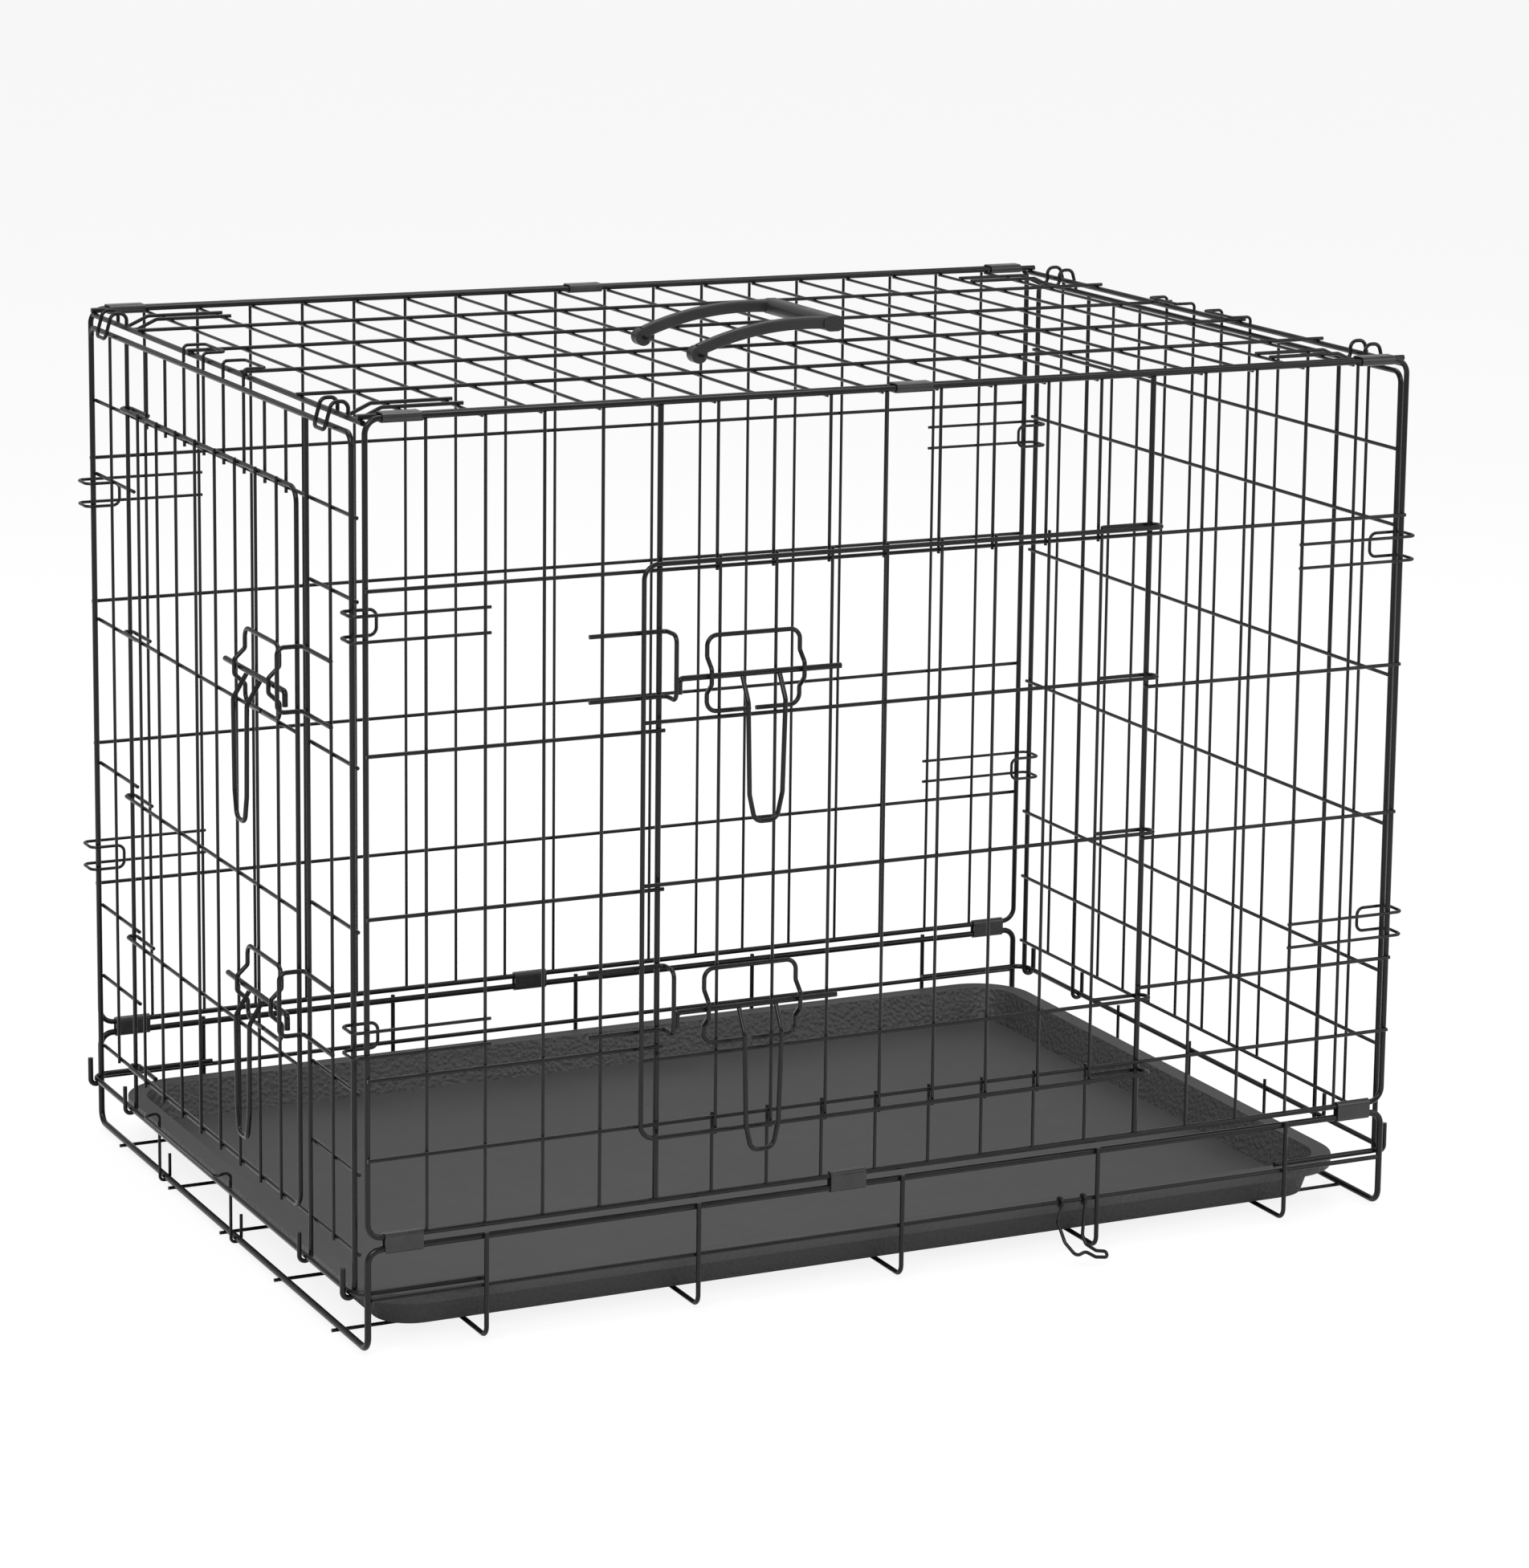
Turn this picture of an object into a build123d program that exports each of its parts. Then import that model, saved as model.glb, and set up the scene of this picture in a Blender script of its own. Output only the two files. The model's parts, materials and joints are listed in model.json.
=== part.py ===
from build123d import *
import math
import os

# Folding wire pet crate with a sliding tray. Millimetres, +Z up, the long door side faces -Y.
# The origin is on the floor, at the middle of the crate.

# Overall sizes, all to wire centres
LENGTH = 760.0
DEPTH = 550.0
PANEL_HEIGHT = 528.0
PITCH = LENGTH / 19
HALF_X = LENGTH / 2
HALF_Y = DEPTH / 2

# Wire radii
RIM_R = 2.2
FRAME_R = 1.9
SIDE_R = 1.5
DOOR_R = 1.6
ROW_R = 1.3
THIN_R = 1.1
FLOOR_R = 1.2
WELD = 0.15

# Base heights
FLOOR_Z = FLOOR_R
RIM_Z = FLOOR_Z + FLOOR_R + RIM_R - 0.1
CROSS_Z = FLOOR_Z + FLOOR_R + DOOR_R - WELD
BASE_RAIL_Z = 71.0
MID_Z = 38.0
HOOP_Z = MID_Z + DOOR_R + FRAME_R - WELD
HOOP_X = HALF_X + 8.0

# Panel heights
BOTTOM_Z = 79.0
TOP_Z = BOTTOM_Z + PANEL_HEIGHT
ROW_ZS = [BOTTOM_Z + 52.5, BOTTOM_Z + 105, BOTTOM_Z + 210, BOTTOM_Z + 315, BOTTOM_Z + 420]
JAMB_LEFT = 5
JAMB_RIGHT = 14
CORNER = 10.0
NUB = 3.0

# Wire layers of the long panels, measured outwards from the frame's plane
ROW_OUT = FRAME_R + ROW_R - WELD
THIN_OUT = ROW_OUT - ROW_R - THIN_R + WELD
LOCK_OUT = THIN_OUT + 2 * THIN_R - WELD

# Top panel
RAIL_IN = 8.0
END_RAIL_X = HALF_X - 0.8
END_RAIL_Z = TOP_Z - 2 * FRAME_R + 0.2
TOP_CROSS_Z = TOP_Z - FRAME_R - THIN_R + WELD
TOP_LONG_Z = TOP_CROSS_Z + THIN_R + ROW_R - WELD

# End panels
END_PLANE = HOOP_X - 4.1
END_HALF = 262.0
END_PITCH = 2 * END_HALF / 13
END_UNIT = 53.1
END_BOTTOM_Z = BOTTOM_Z - 14
END_TOP_Z = END_BOTTOM_Z + 10 * END_UNIT
END_ROW_IN = FRAME_R + ROW_R - WELD
END_THIN_IN = END_ROW_IN - ROW_R - THIN_R + WELD
END_JAMB_NEAR = 2
END_JAMB_FAR = 11

# Doors, measured outwards from the jamb's plane
DOOR_THIN_OUT = 5.95
FRONT_ROW_OUT = DOOR_THIN_OUT + THIN_R + ROW_R - WELD
FRONT_FRAME_OUT = DOOR_THIN_OUT + THIN_R + DOOR_R - WELD
END_ROW_OUT = DOOR_THIN_OUT - THIN_R - ROW_R + WELD
END_FRAME_OUT = DOOR_THIN_OUT - THIN_R - DOOR_R + WELD
FRONT_DOOR_ZS = [BOTTOM_Z + 45, BOTTOM_Z + 98, BOTTOM_Z + 214.5, BOTTOM_Z + 322, BOTTOM_Z + 425]
END_DOOR_ZS = [BOTTOM_Z - 8.5, BOTTOM_Z + 87.5, BOTTOM_Z + 191, BOTTOM_Z + 309.5, BOTTOM_Z + 469]
CURL = 6.0
CURL_BEND = 5.0
CURL_BACK = 34.0

# Latches: height of each rod, and the sizes of guide, rod, handle and keeper
FRONT_RODS = {"upper": BOTTOM_Z + 350, "lower": BOTTOM_Z + 129}
END_RODS = {"upper": BOTTOM_Z + 337.5, "lower": BOTTOM_Z + 123}
GUIDE_LEFT = 30.0
GUIDE_RIGHT = 96.0
GUIDE_OUT = DOOR_THIN_OUT + THIN_R + SIDE_R - WELD
GUIDE_BULGE = GUIDE_OUT + 7.5
GUIDE_TOP = 26.0
GUIDE_BOTTOM = -24.0
ROD_OUT = GUIDE_BULGE - SIDE_R - FRAME_R - 0.3
ROD_START = 9.0
ROD_END = 124.0
HANDLE_LEFT = 53.0
HANDLE_RIGHT = 79.5
HANDLE_OUT = 22.5
HANDLE_DROP = 96.0
KEEPER_AT = 3.5
KEEPER_OUT = 19.5
KEEPER_TOP = 30.0
KEEPER_FOOT = -12.5

# Carry handle
GRIP_WIRE_X = -60.0
GRIP_Y = -20.0
GRIP_HALF = 47.0
GRIP_REACH = 102.0

# Fold keeper on the front mid wire
FOLD_X = 123.0
FOLD_GAP = 18.0
FOLD_R = 1.2
FOLD_LEAN = 43.0

# Tray
TRAY_X0 = -375.0
TRAY_X1 = 366.0
TRAY_HALF_Y = 265.0
TRAY_Z = RIM_Z + RIM_R + 0.15
TRAY_TOP = 34.0
TRAY_WALL = 2.2


def upright_x(index):
    return -HALF_X + index * PITCH


def end_y(index):
    return -END_HALF + index * END_PITCH


def rod(start, end, radius):
    a = Vector(*start)
    b = Vector(*end)
    return Solid.make_cylinder(radius, (b - a).length, Plane(origin=a, z_dir=b - a))


def bent(points, radius, bend, close=False):
    """One wire along straight runs joined by round bends."""
    path = FilletPolyline(*points, radius=bend, close=close)
    section = Plane(origin=path @ 0, z_dir=path % 0) * Circle(radius)
    return sweep(section, path=path).solid()


def mirror_pts(points):
    return list(reversed(points))


def save(name, solids):
    shape = solids[0] if len(solids) == 1 else Compound(children=list(solids))
    shape.label = name
    export_step(shape, "parts/" + name + ".step")
    print(name, len(solids))


# Base

def base_rim():
    x, y = HALF_X, HALF_Y
    corners = [
        (-x, -y, BASE_RAIL_Z), (x, -y, BASE_RAIL_Z), (x, -y, RIM_Z), (x, y, RIM_Z),
        (x, y, BASE_RAIL_Z), (-x, y, BASE_RAIL_Z), (-x, y, RIM_Z), (-x, -y, RIM_Z),
    ]
    start = (0, -y, BASE_RAIL_Z)
    half_a = bent([start] + corners[1:5] + [(0, y, BASE_RAIL_Z)], RIM_R, 9)
    half_b = bent([(0, y, BASE_RAIL_Z)] + corners[5:] + [corners[0], start], RIM_R, 9)
    return [half_a + half_b]


def base_cross_wires():
    side = HALF_Y + RIM_R + DOOR_R - 0.2
    top = BASE_RAIL_Z + 3
    wires = []
    for index in (2, 5.75, 9.5, 13.25, 17):
        x = upright_x(index)
        wires.append(bent([(x, -side, top), (x, -side, CROSS_Z), (x, side, CROSS_Z), (x, side, top)], DOOR_R, 7))
    return wires


def base_floor_wires():
    wires = []
    post_x = HOOP_X - FRAME_R - FLOOR_R + 0.1
    for step in (-2, -1, 0, 1, 2):
        y = step * 110.0
        start = (-HALF_X - RIM_R - 2, y, FLOOR_Z)
        if abs(step) == 2:
            wires.append(rod(start, (HALF_X + RIM_R + 2, y, FLOOR_Z), FLOOR_R))
        else:
            wires.append(bent([start, (post_x, y, FLOOR_Z), (post_x, y, HOOP_Z + 8)], FLOOR_R, 4))
    return wires


def base_side_wires():
    y = HALF_Y + RIM_R - DOOR_R - 0.2 + WELD
    x = HALF_X - RIM_R + 0.2
    return [rod((-x, side * y, MID_Z), (x, side * y, MID_Z), DOOR_R) for side in (-1, 1)]


def base_hoop(side):
    y = HALF_Y - RIM_R - FRAME_R + 0.1
    inner = side * (HALF_X - 84)
    outer = side * HOOP_X
    return [bent([(inner, -y, HOOP_Z), (outer, -y, HOOP_Z), (outer, y, HOOP_Z), (inner, y, HOOP_Z)], FRAME_R, 12)]


def tray_gate():
    inner = -HALF_X + RIM_R + THIN_R + 0.4
    outer = -HALF_X - RIM_R - THIN_R - 0.4
    low = RIM_Z - RIM_R - THIN_R - 0.1
    arch = HOOP_Z + 10
    bar = outer - 11

    def leg(y):
        return [(inner, y, 20), (inner, y, low), (outer, y, low), (outer, y, arch), (bar, y, arch - 2)]

    points = leg(130.0) + mirror_pts(leg(-22.0))
    bends = [3.2, 3.2, 3.5, 3.5, 3.5, 3.5, 3.2, 3.2]
    return [bent(points, THIN_R, bends)]


# Long panels

def long_frame(side):
    y = side * HALF_Y
    corners = [(-HALF_X, y, TOP_Z), (-HALF_X, y, BOTTOM_Z), (HALF_X, y, BOTTOM_Z), (HALF_X, y, TOP_Z)]
    return [closed_ring(corners, (0, y, TOP_Z), FRAME_R, CORNER)]


def closed_ring(corners, start, radius, bend):
    half = len(corners) // 2
    middle = tuple((a + b) / 2 for a, b in zip(corners[half - 1], corners[half]))
    first = bent([start] + corners[:half] + [middle], radius, bend)
    second = bent([middle] + corners[half:] + [start], radius, bend)
    return first + second


def front_uprights():
    y = -HALF_Y - THIN_OUT
    low = BOTTOM_Z + FRAME_R - 0.2
    high = TOP_Z - FRAME_R + 0.2
    wires = []
    for index in range(1, 19):
        x = upright_x(index)
        if index in (JAMB_LEFT, JAMB_RIGHT):
            wires.append(rod((x, -HALF_Y, low), (x, -HALF_Y, high), FRAME_R))
        elif JAMB_LEFT < index < JAMB_RIGHT:
            wires.append(rod((x, y, ROW_ZS[4] - NUB), (x, y, high), THIN_R))
            wires.append(rod((x, y, low), (x, y, ROW_ZS[0] + NUB), THIN_R))
        else:
            wires.append(rod((x, y, low), (x, y, high), THIN_R))
    return wires


def front_rows():
    y = -HALF_Y - ROW_OUT
    edge = HALF_X + 1
    wires = []
    for level, z in enumerate(ROW_ZS):
        if level in (0, 4):
            wires.append(rod((-edge, y, z), (edge, y, z), ROW_R))
        else:
            wires.append(rod((-edge, y, z), (upright_x(JAMB_LEFT) + NUB, y, z), ROW_R))
            wires.append(rod((upright_x(JAMB_RIGHT) - NUB, y, z), (edge, y, z), ROW_R))
    return wires


def back_uprights():
    y = HALF_Y + THIN_OUT
    low = BOTTOM_Z + FRAME_R - 0.2
    high = TOP_Z - FRAME_R + 0.2
    return [rod((upright_x(i), y, low), (upright_x(i), y, high), THIN_R) for i in range(1, 19)]


def back_rows():
    y = HALF_Y + ROW_OUT
    edge = HALF_X + 1
    return [rod((-edge, y, z), (edge, y, z), ROW_R) for z in ROW_ZS[1:]]


def corner_locks(side):
    """Hairpins that reach round the corner uprights, two at each corner."""
    outer_y = side * (HALF_Y + LOCK_OUT)
    inner_y = side * (HALF_Y - 17.5)
    locks = []
    for end in (-1, 1):
        start = end * (HALF_X - 2 * PITCH - NUB)
        corner = end * (HALF_X + 10.5)
        nose = end * (HALF_X - 14)
        for high, low in ((TOP_Z - 123.5, TOP_Z - 140), (BOTTOM_Z + 137, BOTTOM_Z + 120.5)):
            upper = [(start, outer_y, high), (corner, outer_y, high), (corner, inner_y, high), (nose, inner_y, high)]
            lower = [(p[0], p[1], low) for p in reversed(upper)]
            locks.append(bent(upper + lower, THIN_R, [5, 5, 5, 5, 5, 5]))
    return locks


# Top panel

def top_rails():
    y = HALF_Y - RAIL_IN
    return [rod((-HALF_X - 2, side * y, TOP_Z), (HALF_X + 2, side * y, TOP_Z), FRAME_R) for side in (-1, 1)]


def top_end_rails():
    y = HALF_Y - RAIL_IN + NUB
    return [rod((s * END_RAIL_X, -y, END_RAIL_Z), (s * END_RAIL_X, y, END_RAIL_Z), FRAME_R) for s in (-1, 1)]


def top_cross_wires():
    y = HALF_Y - RAIL_IN + NUB
    return [rod((upright_x(i), -y, TOP_CROSS_Z), (upright_x(i), y, TOP_CROSS_Z), THIN_R) for i in range(1, 19)]


def top_long_wires():
    x = HALF_X + NUB
    step = 2 * (HALF_Y - RAIL_IN) / 5
    return [rod((-x, k * step / 2, TOP_LONG_Z), (x, k * step / 2, TOP_LONG_Z), ROW_R) for k in (-3, -1, 1, 3)]


def corner_catches():
    """Spring hairpins on the top: each dips inside the end rail, arches over it and ends in a nose."""
    catches = []
    dip = END_TOP_Z + FRAME_R + ROW_R + 0.8
    for end in (-1, 1):
        for side in (-1, 1):
            def leg(y):
                flat = [(HALF_X - 2 * PITCH - NUB, TOP_LONG_Z), (352, TOP_LONG_Z), (366, dip)]
                arch = [(374, dip), (374, TOP_Z + 4.6), (385, TOP_Z + 4.6), (389.8, END_TOP_Z - 2)]
                return [(end * x, y, z) for x, z in flat + arch]

            outer = leg(side * (HALF_Y - 44.5))
            inner = leg(side * (HALF_Y - 63.5))
            bends = [5, 3, 3, 5, 5, 4]
            catches.append(bent(outer + mirror_pts(inner), ROW_R, bends + mirror_pts(bends)))
    return catches


# End panels

def end_frame(side):
    """Outer wire with a hook at each foot, and the two thicker uprights with the same hooks."""
    x = side * END_PLANE
    tip = side * (2 * HOOP_X - END_PLANE)
    low = HOOP_Z - 4.1
    wires = []

    def foot(y):
        return [(tip, y, low + 20), (tip, y, low), (x, y, low)]

    edge = foot(-END_HALF) + [(x, -END_HALF, END_TOP_Z), (x, END_HALF, END_TOP_Z)] + mirror_pts(foot(END_HALF))
    wires.append(bent(edge, FRAME_R, [4.05, 4.05, 8, 8, 4.05, 4.05]))
    for index in (END_JAMB_NEAR, END_JAMB_FAR):
        y = end_y(index)
        wires.append(bent(foot(y) + [(x, y, END_TOP_Z - FRAME_R + 0.2)], SIDE_R, 4.05))
    return wires


def end_uprights(side, door):
    x = side * (END_PLANE - END_THIN_IN)
    high = END_TOP_Z - FRAME_R + 0.3
    wires = []
    for index in range(1, 13):
        if index in (END_JAMB_NEAR, END_JAMB_FAR):
            continue
        low = END_BOTTOM_Z - 2
        if door and END_JAMB_NEAR < index < END_JAMB_FAR:
            low = END_BOTTOM_Z + 9 * END_UNIT - NUB
        wires.append(rod((x, end_y(index), low), (x, end_y(index), high), THIN_R))
    return wires


def end_rows(side, door):
    x = side * (END_PLANE - END_ROW_IN)
    wires = []
    for unit in (0, 1, 2, 4, 6, 8, 9):
        z = END_BOTTOM_Z + unit * END_UNIT
        if door and unit not in (0, 9):
            wires.append(rod((x, -END_HALF - 1, z), (x, end_y(END_JAMB_NEAR) + NUB, z), ROW_R))
            wires.append(rod((x, end_y(END_JAMB_FAR) - NUB, z), (x, END_HALF + 1, z), ROW_R))
        else:
            wires.append(rod((x, -END_HALF - 1, z), (x, END_HALF + 1, z), ROW_R))
    return wires


def end_top_hooks(side):
    """Two hairpins that rise from the end panel and lie over the end rail of the top."""
    x = side * (END_PLANE - END_THIN_IN)
    nose = side * (END_PLANE - 16)
    low = END_TOP_Z + FRAME_R - WELD
    high = TOP_LONG_Z + ROW_R + THIN_R + 0.4
    hooks = []
    for first in (5, 7):
        y0, y1 = end_y(first), end_y(first + 1)
        points = [(x, y0, low), (x, y0, high), (nose, y0, high), (nose, y1, high), (x, y1, high), (x, y1, low)]
        hooks.append(bent(points, THIN_R, 3))
    return hooks


# Doors. A point on a door is (u, w, z): u from the lock jamb towards the hinge, w outwards.

def front_point(u, w, z):
    return (upright_x(JAMB_LEFT) + u, -HALF_Y - w, z)


def end_point(u, w, z):
    return (-END_PLANE - w, end_y(END_JAMB_NEAR) + u, z)


FRONT_HINGE_U = (JAMB_RIGHT - JAMB_LEFT) * PITCH
END_HINGE_U = (END_JAMB_FAR - END_JAMB_NEAR) * END_PITCH


def curled_end(place, hinge_u, out, back, z):
    """The hinge end of a door wire, from its tip inside the jamb round to the outside."""
    return [
        place(hinge_u - CURL_BACK, -back, z),
        place(hinge_u + CURL, -back, z),
        place(hinge_u + CURL, out, z),
    ]


def door_frame(place, hinge_u, free_u, out, back, low, high):
    top = curled_end(place, hinge_u, out, back, high)
    bottom = curled_end(place, hinge_u, out, back, low)
    points = top + [place(free_u, out, high), place(free_u, out, low)] + mirror_pts(bottom)
    return [bent(points, DOOR_R, [CURL_BEND, CURL_BEND, CORNER, CORNER, CURL_BEND, CURL_BEND])]


def door_rows(place, hinge_u, free_u, out, back, heights):
    wires = []
    for z in heights:
        points = curled_end(place, hinge_u, out, back, z) + [place(free_u + DOOR_R - 0.2, out, z)]
        wires.append(bent(points, ROW_R, CURL_BEND))
    return wires


def door_uprights(place, us, low, high):
    return [rod(place(u, DOOR_THIN_OUT, low - NUB), place(u, DOOR_THIN_OUT, high + NUB), THIN_R) for u in us]


def guide(place, z):
    """Bent wire ring on the door whose two bulges hold the rod."""
    gap = 2.0
    middle = (GUIDE_LEFT + GUIDE_RIGHT) / 2
    right = [
        (middle + gap, GUIDE_OUT, GUIDE_BOTTOM), (GUIDE_RIGHT, GUIDE_OUT, GUIDE_BOTTOM),
        (GUIDE_RIGHT, GUIDE_OUT, -12), (GUIDE_RIGHT, GUIDE_BULGE, -5),
        (GUIDE_RIGHT, GUIDE_BULGE, 5), (GUIDE_RIGHT, GUIDE_OUT, 12), (GUIDE_RIGHT, GUIDE_OUT, GUIDE_TOP),
    ]
    left = [(2 * middle - u, w, h) for u, w, h in reversed(right)]
    points = [place(u, w, z + h) for u, w, h in right + left]
    bends = [7, 3, 3, 3, 3, 7]
    return bent(points, SIDE_R, bends + bends)


def latch_rod(place, z):
    tip = (ROD_START, ROD_OUT, z - 10)
    return [bent([place(*tip), place(ROD_START, ROD_OUT, z), place(ROD_END, ROD_OUT, z)], FRAME_R, 2.6)]


def latch_handle(place, z):
    side = [
        (0, ROD_OUT + 1.1, z - 1.7), (0, HANDLE_OUT, z - 17),
        (1.5, HANDLE_OUT, z - 78), (5.5, HANDLE_OUT, z - HANDLE_DROP),
    ]
    left = [place(HANDLE_LEFT + u, w, h) for u, w, h in side]
    right = [place(HANDLE_RIGHT - u, w, h) for u, w, h in side]
    return [bent(left + mirror_pts(right), DOOR_R, [6, 12, 6.5, 6.5, 12, 6])]


def keeper(place, z, out):
    points = [
        place(-50, out, z + KEEPER_TOP), place(KEEPER_AT, out, z + KEEPER_TOP),
        place(KEEPER_AT, KEEPER_OUT, z + KEEPER_TOP), place(KEEPER_AT, KEEPER_OUT, z + KEEPER_FOOT),
        place(KEEPER_AT, out, z + KEEPER_FOOT), place(-50, out, z + KEEPER_FOOT),
    ]
    return bent(points, SIDE_R, [3, 5, 5, 3])


# Loose pieces

def wrap_clips(y, z, horizontal, centres):
    """Folded sheet sleeves that hold two long wires side by side."""
    clips = []
    wall = 0.9
    bore = RIM_R + 0.1
    for x in centres:
        plane = Plane(origin=(x - 13, y, z), x_dir=(0, 1, 0), z_dir=(1, 0, 0))
        turn = 0 if horizontal else 90
        section = SlotCenterToCenter(8, 2 * (bore + wall), rotation=turn) - SlotCenterToCenter(8, 2 * bore, rotation=turn)
        clips.append(extrude(plane * section, 26).solid())
    return clips


def tray():
    """Shallow moulded pan with sloping walls, a flat rim and a turned-down edge."""
    middle = Plane(origin=((TRAY_X0 + TRAY_X1) / 2, 0, 0))
    span_x = TRAY_X1 - TRAY_X0
    span_y = 2 * TRAY_HALF_Y

    def outline(inset, z, corner):
        return middle.offset(z) * RectangleRounded(span_x - 2 * inset, span_y - 2 * inset, corner)

    outer = loft([outline(20, TRAY_Z, 26), outline(11, TRAY_TOP, 34)], ruled=True)
    inner = loft([
        outline(20 + TRAY_WALL, TRAY_Z + TRAY_WALL, 24),
        outline(11 + TRAY_WALL - 0.4, TRAY_TOP + 1, 32),
    ], ruled=True)
    rim = extrude(outline(0, TRAY_TOP - 2, 44), 2) - extrude(outline(12, TRAY_TOP - 2, 33), 2)
    lip = extrude(outline(0, TRAY_TOP - 7, 44), 7) - extrude(outline(2, TRAY_TOP - 7, 42), 7)
    return [((outer + rim + lip) - inner).solid()]


def carry_handle():
    """Moulded grip with two snap rings round a cross wire of the top."""
    ring_w = 9.0
    z = TOP_CROSS_Z
    arm_z = z + 10
    grip_z = z + 17
    body = None
    for side in (-1, 1):
        y = GRIP_Y + side * GRIP_HALF
        plane = Plane(origin=(GRIP_WIRE_X, y + ring_w / 2, z), x_dir=(1, 0, 0), z_dir=(0, -1, 0))
        ring = extrude(plane * Circle(6), ring_w)
        spine = Spline((GRIP_WIRE_X + 1, y, z + 3), (GRIP_WIRE_X + 22, y, arm_z), (GRIP_WIRE_X + GRIP_REACH, y, grip_z))
        section = Plane(origin=spine @ 0, z_dir=spine % 0) * RectangleRounded(8.5, 6.5, 2)
        piece = ring + sweep(section, path=spine)
        body = piece if body is None else body + piece
    grip = Plane(origin=(GRIP_WIRE_X + GRIP_REACH, GRIP_Y - GRIP_HALF - 4.2, grip_z), z_dir=(0, 1, 0))
    body = body + extrude(grip * RectangleRounded(11, 15, 5), 2 * GRIP_HALF + 8.4)
    bore = rod((GRIP_WIRE_X, GRIP_Y - 60, z), (GRIP_WIRE_X, GRIP_Y + 60, z), THIN_R + 0.1)
    return [(body - bore).solid()]


def fold_keeper():
    """Wire hook hanging from the front mid wire, with an eye round the wire at each end."""
    lean = math.radians(FOLD_LEAN)
    axis_y = -(HALF_Y + RIM_R - DOOR_R - 0.2 + WELD)
    eye = DOOR_R + FOLD_R + 0.3

    def point(x, drop):
        return (FOLD_X + x, axis_y - drop * math.sin(lean), MID_Z - drop * math.cos(lean))

    outline = [
        (0, eye), (-7, 14), (-7, 30), (-2, 41), (6, 38.5), (12, 43.5), (21, 45), (21, 40.5),
        (14, 39), (8, 33), (8, 26), (FOLD_GAP, eye),
    ]
    hook = bent([point(x, drop) for x, drop in outline], FOLD_R, [5, 6, 4, 4, 3, 2, 2, 3, 3, 3])
    for x in (FOLD_X, FOLD_X + FOLD_GAP):
        plane = Plane(origin=(x, axis_y, MID_Z), z_dir=(1, 0, 0))
        hook = hook + plane * Torus(eye, FOLD_R)
    return [hook.solid()]


def main():
    os.makedirs("parts", exist_ok=True)
    save("base_rim", base_rim())
    save("base_cross_wires", base_cross_wires())
    save("base_floor_wires", base_floor_wires())
    save("base_side_wires", base_side_wires())
    save("base_left_hoop", base_hoop(-1))
    save("base_right_hoop", base_hoop(1))
    save("tray_gate", tray_gate())
    save("tray", tray())

    save("front_panel_frame", long_frame(-1))
    save("front_panel_uprights", front_uprights())
    save("front_panel_rows", front_rows())
    save("front_corner_locks", corner_locks(-1))
    save("back_panel_frame", long_frame(1))
    save("back_panel_uprights", back_uprights())
    save("back_panel_rows", back_rows())
    save("back_corner_locks", corner_locks(1))

    save("top_rails", top_rails())
    save("top_end_rails", top_end_rails())
    save("top_cross_wires", top_cross_wires())
    save("top_long_wires", top_long_wires())
    save("top_corner_catches", corner_catches())

    for name, side, door in (("left", -1, True), ("right", 1, False)):
        save(name + "_panel_frame", end_frame(side))
        save(name + "_panel_uprights", end_uprights(side, door))
        save(name + "_panel_rows", end_rows(side, door))
        save(name + "_panel_hooks", end_top_hooks(side))

    front_back = FRAME_R + 0.4 + ROW_R
    save("front_door_frame", door_frame(
        front_point, FRONT_HINGE_U, -14.5, FRONT_FRAME_OUT, front_back + 0.3, FRONT_DOOR_ZS[0], FRONT_DOOR_ZS[4]))
    save("front_door_rows", door_rows(
        front_point, FRONT_HINGE_U, -14.5, FRONT_ROW_OUT, front_back, FRONT_DOOR_ZS[1:4]))
    save("front_door_uprights", door_uprights(
        front_point, [k * PITCH for k in range(1, 9)], FRONT_DOOR_ZS[0], FRONT_DOOR_ZS[4]))
    end_back = SIDE_R + 0.5 + ROW_R
    save("end_door_frame", door_frame(
        end_point, END_HINGE_U, 10, END_FRAME_OUT, end_back + 0.3, END_DOOR_ZS[0], END_DOOR_ZS[4]))
    save("end_door_rows", door_rows(
        end_point, END_HINGE_U, 10, END_ROW_OUT, end_back, END_DOOR_ZS[1:4]))
    save("end_door_uprights", door_uprights(
        end_point, [k * END_PITCH for k in range(1, 9)], END_DOOR_ZS[0], END_DOOR_ZS[4]))

    for door, place, rods, out in (
        ("front", front_point, FRONT_RODS, FRAME_R + SIDE_R - WELD),
        ("end", end_point, END_RODS, 2 * SIDE_R - WELD),
    ):
        save(door + "_door_guides", [guide(place, z) for z in rods.values()])
        save(door + "_door_keepers", [keeper(place, z, out) for z in rods.values()])
        for level, z in rods.items():
            save(door + "_" + level + "_bolt", latch_rod(place, z))
            save(door + "_" + level + "_handle", latch_handle(place, z))

    ends = (-356, 356)
    for name, side in (("front", -1), ("back", 1)):
        top_y = side * (HALF_Y - RAIL_IN / 2)
        low_z = (BASE_RAIL_Z + BOTTOM_Z) / 2
        save(name + "_top_clips", wrap_clips(top_y, TOP_Z, True, (ends[0], 0, ends[1])))
        save(name + "_bottom_clips", wrap_clips(side * HALF_Y, low_z, False, (ends[0], -40, ends[1])))

    save("carry_handle", carry_handle())
    save("fold_keeper", fold_keeper())


main()
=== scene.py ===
import json
import math
import bmesh
import bpy
from mathutils import Matrix, Vector

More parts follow.
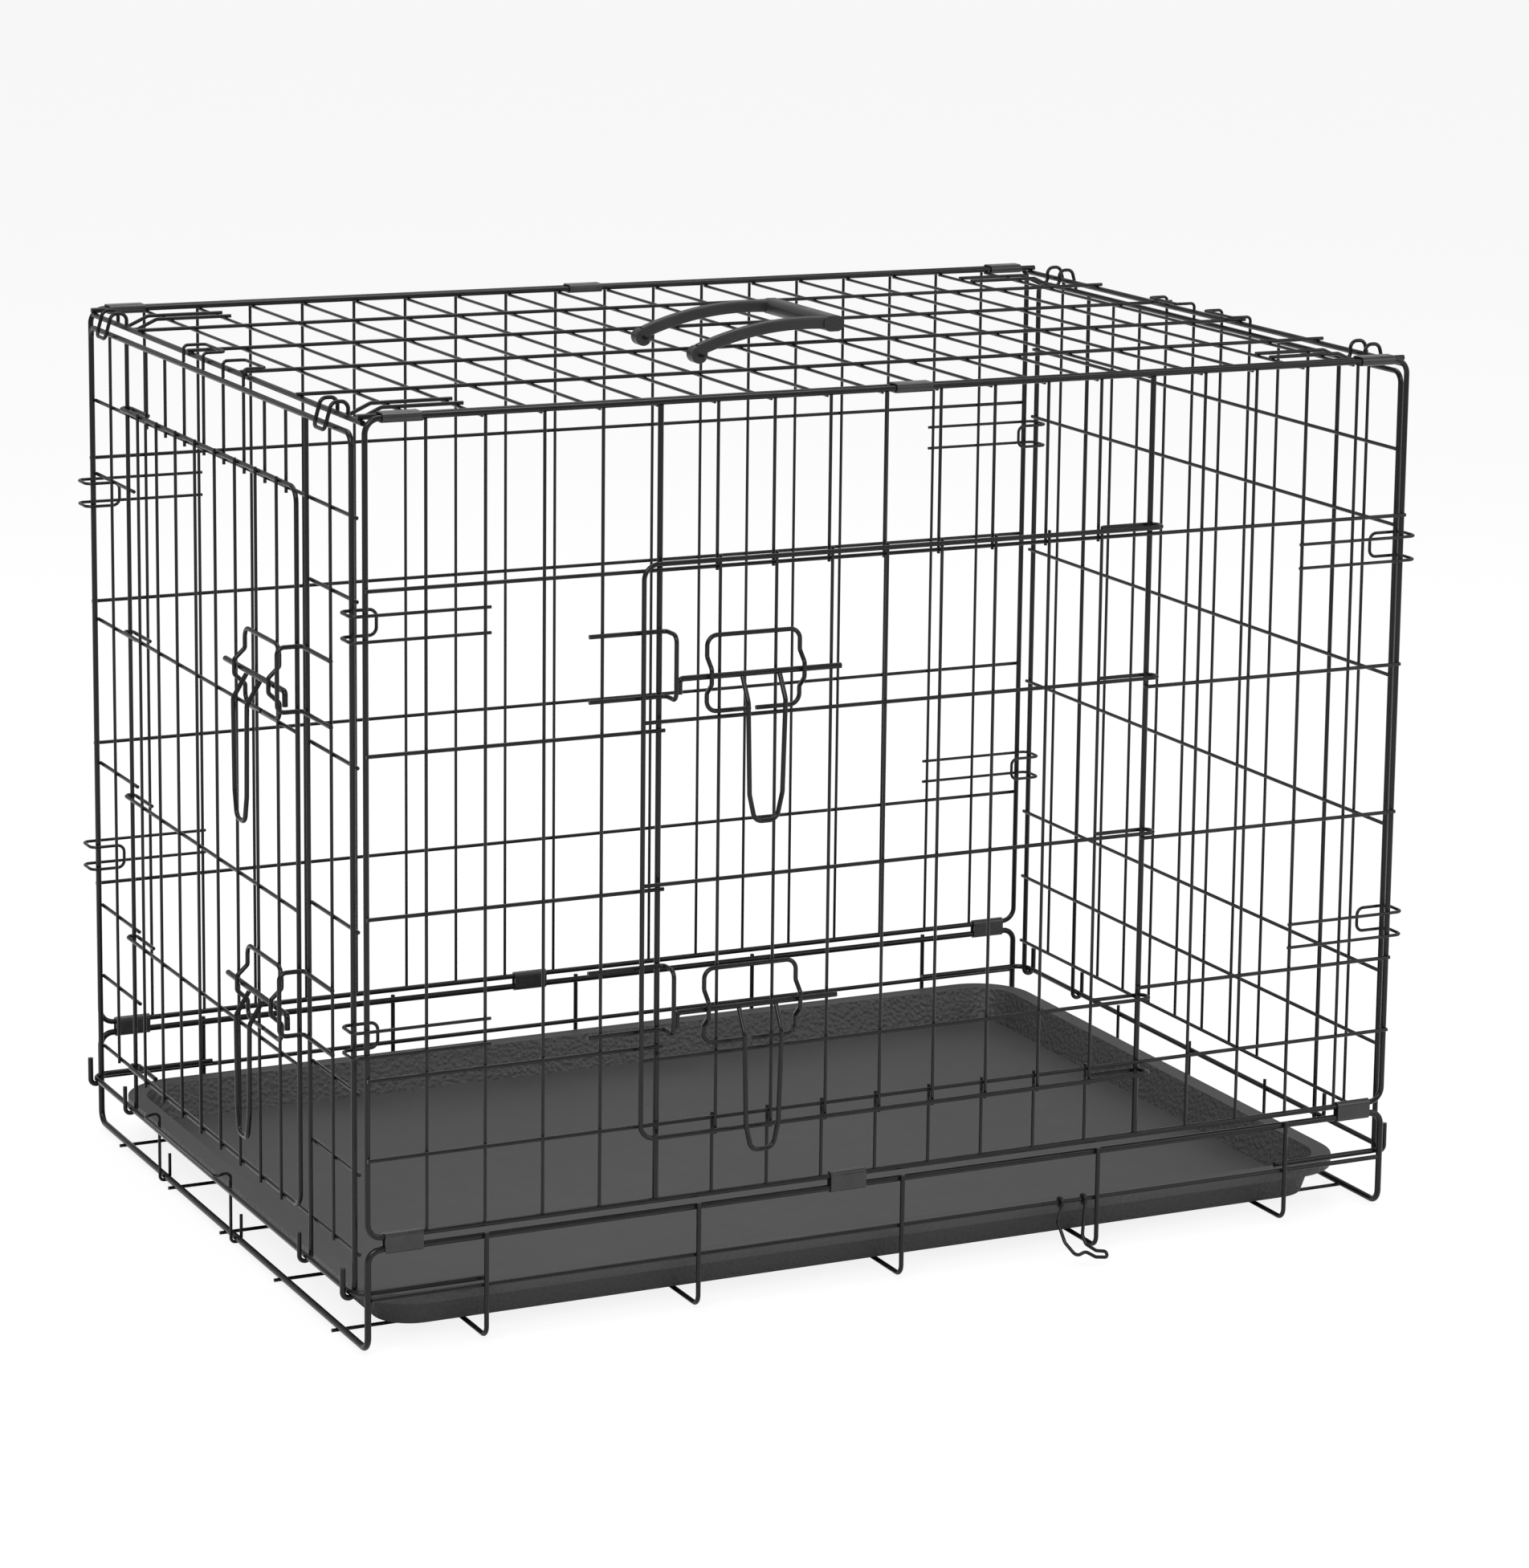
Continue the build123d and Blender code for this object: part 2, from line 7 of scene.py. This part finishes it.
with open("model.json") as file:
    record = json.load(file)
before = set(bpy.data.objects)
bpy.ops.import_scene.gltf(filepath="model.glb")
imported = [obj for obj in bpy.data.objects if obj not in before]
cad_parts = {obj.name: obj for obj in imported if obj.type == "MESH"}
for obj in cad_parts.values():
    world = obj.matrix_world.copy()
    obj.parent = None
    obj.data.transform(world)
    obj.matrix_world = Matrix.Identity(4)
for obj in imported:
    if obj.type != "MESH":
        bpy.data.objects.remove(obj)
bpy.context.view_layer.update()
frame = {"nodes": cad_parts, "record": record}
print("frame loaded", len(frame["nodes"]), "nodes")


def addSockets(group, way, sockets):
    for name, kind in sockets.items():
        group.interface.new_socket(name=name, in_out=way, socket_type="NodeSocket" + kind)


grainShape = {
    "grainDetail": 3.0,
    "patchDetail": 4.0,
    "patchRoughness": 0.6,
    "patchLow": 0.3,  # patch values at or below this are smooth
    "patchHigh": 0.7,  # patch values at or above this are dull
}


def makeGrainGroup(shape):  # grain and mottling of a coated or moulded surface
    group = bpy.data.node_groups.new("surfaceGrain", "ShaderNodeTree")
    addSockets(group, "INPUT", {
        "Colour": "Color", "High Colour": "Color", "Grain Scale": "Float",
        "Patch Scale": "Float", "Smooth": "Float", "Dull": "Float",
    })
    addSockets(group, "OUTPUT", {"Colour": "Color", "Roughness": "Float", "Height": "Float"})
    nodes, links = group.nodes, group.links
    entry = nodes.new("NodeGroupInput")
    leave = nodes.new("NodeGroupOutput")
    place = nodes.new("ShaderNodeTexCoord")
    grain = nodes.new("ShaderNodeTexNoise")
    grain.inputs["Detail"].default_value = shape["grainDetail"]
    links.new(place.outputs["Object"], grain.inputs["Vector"])
    links.new(entry.outputs["Grain Scale"], grain.inputs["Scale"])
    links.new(grain.outputs["Fac"], leave.inputs["Height"])
    patch = nodes.new("ShaderNodeTexNoise")
    patch.inputs["Detail"].default_value = shape["patchDetail"]
    patch.inputs["Roughness"].default_value = shape["patchRoughness"]
    links.new(place.outputs["Object"], patch.inputs["Vector"])
    links.new(entry.outputs["Patch Scale"], patch.inputs["Scale"])
    tint = nodes.new("ShaderNodeMix")
    tint.data_type = "RGBA"
    links.new(patch.outputs["Fac"], tint.inputs["Factor"])
    links.new(entry.outputs["Colour"], tint.inputs["A"])
    links.new(entry.outputs["High Colour"], tint.inputs["B"])
    links.new(tint.outputs["Result"], leave.inputs["Colour"])
    gloss = nodes.new("ShaderNodeMapRange")
    gloss.inputs["From Min"].default_value = shape["patchLow"]
    gloss.inputs["From Max"].default_value = shape["patchHigh"]
    links.new(patch.outputs["Fac"], gloss.inputs["Value"])
    links.new(entry.outputs["Smooth"], gloss.inputs["To Min"])
    links.new(entry.outputs["Dull"], gloss.inputs["To Max"])
    links.new(gloss.outputs["Result"], leave.inputs["Roughness"])
    return group


pebbleShape = {"crown": 0.1, "gap": 0.6}  # distance from a pebble's middle to its flat top and to its foot


def makePebbleGroup(shape):  # moulded pebbles on sloping walls, none on level faces
    group = bpy.data.node_groups.new("wallPebbles", "ShaderNodeTree")
    addSockets(group, "INPUT", {"Scale": "Float", "Wall Tilt": "Float"})
    addSockets(group, "OUTPUT", {"Height": "Float"})
    nodes, links = group.nodes, group.links
    entry = nodes.new("NodeGroupInput")
    leave = nodes.new("NodeGroupOutput")
    place = nodes.new("ShaderNodeTexCoord")
    cells = nodes.new("ShaderNodeTexVoronoi")
    cells.feature = "SMOOTH_F1"
    links.new(place.outputs["Object"], cells.inputs["Vector"])
    links.new(entry.outputs["Scale"], cells.inputs["Scale"])
    pebble = nodes.new("ShaderNodeMapRange")
    pebble.inputs["From Min"].default_value = shape["crown"]
    pebble.inputs["From Max"].default_value = shape["gap"]
    pebble.inputs["To Min"].default_value = 1.0
    pebble.inputs["To Max"].default_value = 0.0
    links.new(cells.outputs["Distance"], pebble.inputs["Value"])
    geometry = nodes.new("ShaderNodeNewGeometry")
    split = nodes.new("ShaderNodeSeparateXYZ")
    links.new(geometry.outputs["Normal"], split.inputs["Vector"])
    sloping = nodes.new("ShaderNodeMath")
    sloping.operation = "LESS_THAN"
    links.new(split.outputs["Z"], sloping.inputs[0])
    links.new(entry.outputs["Wall Tilt"], sloping.inputs[1])
    keep = nodes.new("ShaderNodeMath")
    keep.operation = "MULTIPLY"
    links.new(pebble.outputs["Result"], keep.inputs[0])
    links.new(sloping.outputs["Value"], keep.inputs[1])
    links.new(keep.outputs["Value"], leave.inputs["Height"])
    return group


grainGroup = makeGrainGroup(grainShape)
pebbleGroup = makePebbleGroup(pebbleShape)
print("shared groups made")


def grainedMaterial(name, look):  # also returns the bump, so that more relief can follow it
    material = bpy.data.materials.new(name)
    material.use_nodes = True
    nodes, links = material.node_tree.nodes, material.node_tree.links
    shader = nodes["Principled BSDF"]
    shader.inputs["Specular IOR Level"].default_value = look["shine"]
    grain = nodes.new("ShaderNodeGroup")
    grain.node_tree = grainGroup
    grain.inputs["Colour"].default_value = (*look["colour"], 1.0)
    grain.inputs["High Colour"].default_value = (*look["highColour"], 1.0)
    grain.inputs["Grain Scale"].default_value = look["grainPerMetre"]
    grain.inputs["Patch Scale"].default_value = look["patchPerMetre"]
    grain.inputs["Smooth"].default_value = look["smooth"]
    grain.inputs["Dull"].default_value = look["dull"]
    links.new(grain.outputs["Colour"], shader.inputs["Base Color"])
    links.new(grain.outputs["Roughness"], shader.inputs["Roughness"])
    bump = nodes.new("ShaderNodeBump")
    bump.inputs["Distance"].default_value = look["grainDepth"]
    links.new(grain.outputs["Height"], bump.inputs["Height"])
    links.new(bump.outputs["Normal"], shader.inputs["Normal"])
    return material, bump


wireLook = {
    "colour": (0.0035, 0.0035, 0.0038),
    "highColour": (0.008, 0.008, 0.0085),
    "grainPerMetre": 1400.0,
    "patchPerMetre": 60.0,
    "smooth": 0.16,
    "dull": 0.28,
    "grainDepth": 0.00002,
    "shine": 0.22,
}
clipLook = {
    "colour": (0.012, 0.012, 0.013),
    "highColour": (0.030, 0.030, 0.031),
    "grainPerMetre": 1800.0,
    "patchPerMetre": 90.0,
    "smooth": 0.18,
    "dull": 0.32,
    "grainDepth": 0.00002,
    "shine": 0.3,
}
gripLook = {
    "colour": (0.014, 0.014, 0.015),
    "highColour": (0.024, 0.024, 0.025),
    "grainPerMetre": 900.0,
    "patchPerMetre": 40.0,
    "smooth": 0.30,
    "dull": 0.42,
    "grainDepth": 0.00004,
    "shine": 0.25,
}
trayLook = {
    "colour": (0.030, 0.030, 0.031),
    "highColour": (0.042, 0.042, 0.043),
    "grainPerMetre": 700.0,
    "patchPerMetre": 9.0,
    "smooth": 0.42,
    "dull": 0.58,
    "grainDepth": 0.00006,
    "shine": 0.3,
    "pebblesPerMetre": 330.0,
    "pebbleDepth": 0.0006,
    "wallTilt": 0.96,  # faces whose normal rises less than this count as walls
}


def trayMaterial(look):
    material, grainBump = grainedMaterial("trayPlastic", look)
    nodes, links = material.node_tree.nodes, material.node_tree.links
    pebbles = nodes.new("ShaderNodeGroup")
    pebbles.node_tree = pebbleGroup
    pebbles.inputs["Scale"].default_value = look["pebblesPerMetre"]
    pebbles.inputs["Wall Tilt"].default_value = look["wallTilt"]
    bump = nodes.new("ShaderNodeBump")
    bump.inputs["Distance"].default_value = look["pebbleDepth"]
    links.new(pebbles.outputs["Height"], bump.inputs["Height"])
    links.new(grainBump.outputs["Normal"], bump.inputs["Normal"])
    links.new(bump.outputs["Normal"], nodes["Principled BSDF"].inputs["Normal"])
    return material


finishes = {
    "black_wire": grainedMaterial("blackCoat", wireLook)[0],
    "clip_steel": grainedMaterial("clipCoat", clipLook)[0],
    "tray_plastic": trayMaterial(trayLook),
    "handle_plastic": grainedMaterial("gripPlastic", gripLook)[0],
}


def finishPiece(piece, material):
    for index in range(len(piece.material_slots)):
        piece.material_slots[index].material = material
    if not piece.material_slots:
        piece.data.materials.append(material)


for row in frame["record"]["subparts"]:
    finishPiece(frame["nodes"][row["node"]], finishes[row["material_slot"]])
print("finishes set")


floorLook = {
    "half": 40.0,
    "squares": 8,
    "below": 0.0002,  # keeps the floor just under the wires that stand on it
    "colour": (0.90, 0.90, 0.90),
    "roughness": 0.9,
    "whiteShare": 0.86,  # how much of the seen floor is plain white; the rest holds the shadow
}


def floorMaterial(look):
    material = bpy.data.materials.new("paleFloor")
    material.use_nodes = True
    nodes, links = material.node_tree.nodes, material.node_tree.links
    shader = nodes["Principled BSDF"]
    shader.inputs["Base Color"].default_value = (*look["colour"], 1.0)
    shader.inputs["Roughness"].default_value = look["roughness"]
    glow = nodes.new("ShaderNodeEmission")
    path = nodes.new("ShaderNodeLightPath")
    share = nodes.new("ShaderNodeMath")
    share.operation = "MULTIPLY"
    share.inputs[1].default_value = look["whiteShare"]
    links.new(path.outputs["Is Camera Ray"], share.inputs[0])
    mix = nodes.new("ShaderNodeMixShader")
    links.new(share.outputs["Value"], mix.inputs["Fac"])
    links.new(shader.outputs["BSDF"], mix.inputs[1])
    links.new(glow.outputs["Emission"], mix.inputs[2])
    links.new(mix.outputs["Shader"], nodes["Material Output"].inputs["Surface"])
    return material


def buildFloor(look):
    mesh = bpy.data.meshes.new("studioFloor")
    shape = bmesh.new()
    bmesh.ops.create_grid(shape, x_segments=look["squares"], y_segments=look["squares"], size=look["half"])
    shape.to_mesh(mesh)
    shape.free()
    mesh.materials.append(floorMaterial(look))
    floor = bpy.data.objects.new("studioFloor", mesh)
    floor.location.z = -look["below"]
    bpy.context.scene.collection.objects.link(floor)


worldLook = {"colour": (1.0, 1.0, 1.0), "lightStrength": 0.55, "seenStrength": 1.0}


def buildWorld(look):
    world = bpy.data.worlds.new("studioWorld")
    world.use_nodes = True
    bpy.context.scene.world = world
    nodes, links = world.node_tree.nodes, world.node_tree.links
    sky = nodes["Background"]
    sky.inputs["Color"].default_value = (*look["colour"], 1.0)
    path = nodes.new("ShaderNodeLightPath")
    strength = nodes.new("ShaderNodeMapRange")
    strength.inputs["To Min"].default_value = look["lightStrength"]
    strength.inputs["To Max"].default_value = look["seenStrength"]
    links.new(path.outputs["Is Camera Ray"], strength.inputs["Value"])
    links.new(strength.outputs["Result"], sky.inputs["Strength"])


lampLook = {
    "aim": (0.0, 0.0, 0.25),
    "lamps": {
        "key": {"place": (-2.2, -2.6, 3.2), "size": 2.2, "watts": 130.0},
        "fill": {"place": (2.8, -2.2, 2.0), "size": 2.6, "watts": 55.0},
        "top": {"place": (0.2, 0.6, 3.4), "size": 2.4, "watts": 70.0},
    },
}


def buildLamps(looks):
    for name, look in looks["lamps"].items():
        lamp = bpy.data.lights.new(name + "Lamp", "AREA")
        lamp.size = look["size"]
        lamp.energy = look["watts"]
        holder = bpy.data.objects.new(name + "Lamp", lamp)
        holder.location = look["place"]
        holder.rotation_euler = (Vector(looks["aim"]) - holder.location).to_track_quat("-Z", "Y").to_euler()
        bpy.context.scene.collection.objects.link(holder)


photoView = {
    "place": (-1.4420, -3.0886, 1.0710),
    "turn": 0.4741,  # radians from +Y towards +X
    "dip": 0.1848,
    "roll": 0.0171,
    "focalPixels": 6105.55,
    "centrePixel": (1136.64, 721.27),
    "pixelsWide": 1904,
    "pixelsHigh": 1953,
    "sensor": 36.0,
    "farthest": 200.0,
}


def buildCamera(view):
    turn, dip, roll = view["turn"], view["dip"], view["roll"]
    ahead = Vector((math.sin(turn) * math.cos(dip), math.cos(turn) * math.cos(dip), -math.sin(dip)))
    level = Vector((math.cos(turn), -math.sin(turn), 0.0))
    above = level.cross(ahead)
    right = level * math.cos(roll) + above * math.sin(roll)
    up = above * math.cos(roll) - level * math.sin(roll)
    camera = bpy.data.cameras.new("photoCamera")
    camera.sensor_fit = "HORIZONTAL"
    camera.sensor_width = view["sensor"]
    camera.lens = view["sensor"] * view["focalPixels"] / view["pixelsWide"]
    camera.shift_x = (view["pixelsWide"] / 2 - view["centrePixel"][0]) / view["pixelsWide"]
    camera.shift_y = (view["centrePixel"][1] - view["pixelsHigh"] / 2) / view["pixelsWide"]
    camera.clip_end = view["farthest"]
    holder = bpy.data.objects.new("photoCamera", camera)
    axes = Matrix((right, up, -ahead)).transposed().to_4x4()
    holder.matrix_world = Matrix.Translation(view["place"]) @ axes
    bpy.context.scene.collection.objects.link(holder)
    bpy.context.scene.camera = holder


buildFloor(floorLook)
buildWorld(worldLook)
buildLamps(lampLook)
buildCamera(photoView)
bpy.context.scene.view_settings.view_transform = "Standard"
print("studio ready")

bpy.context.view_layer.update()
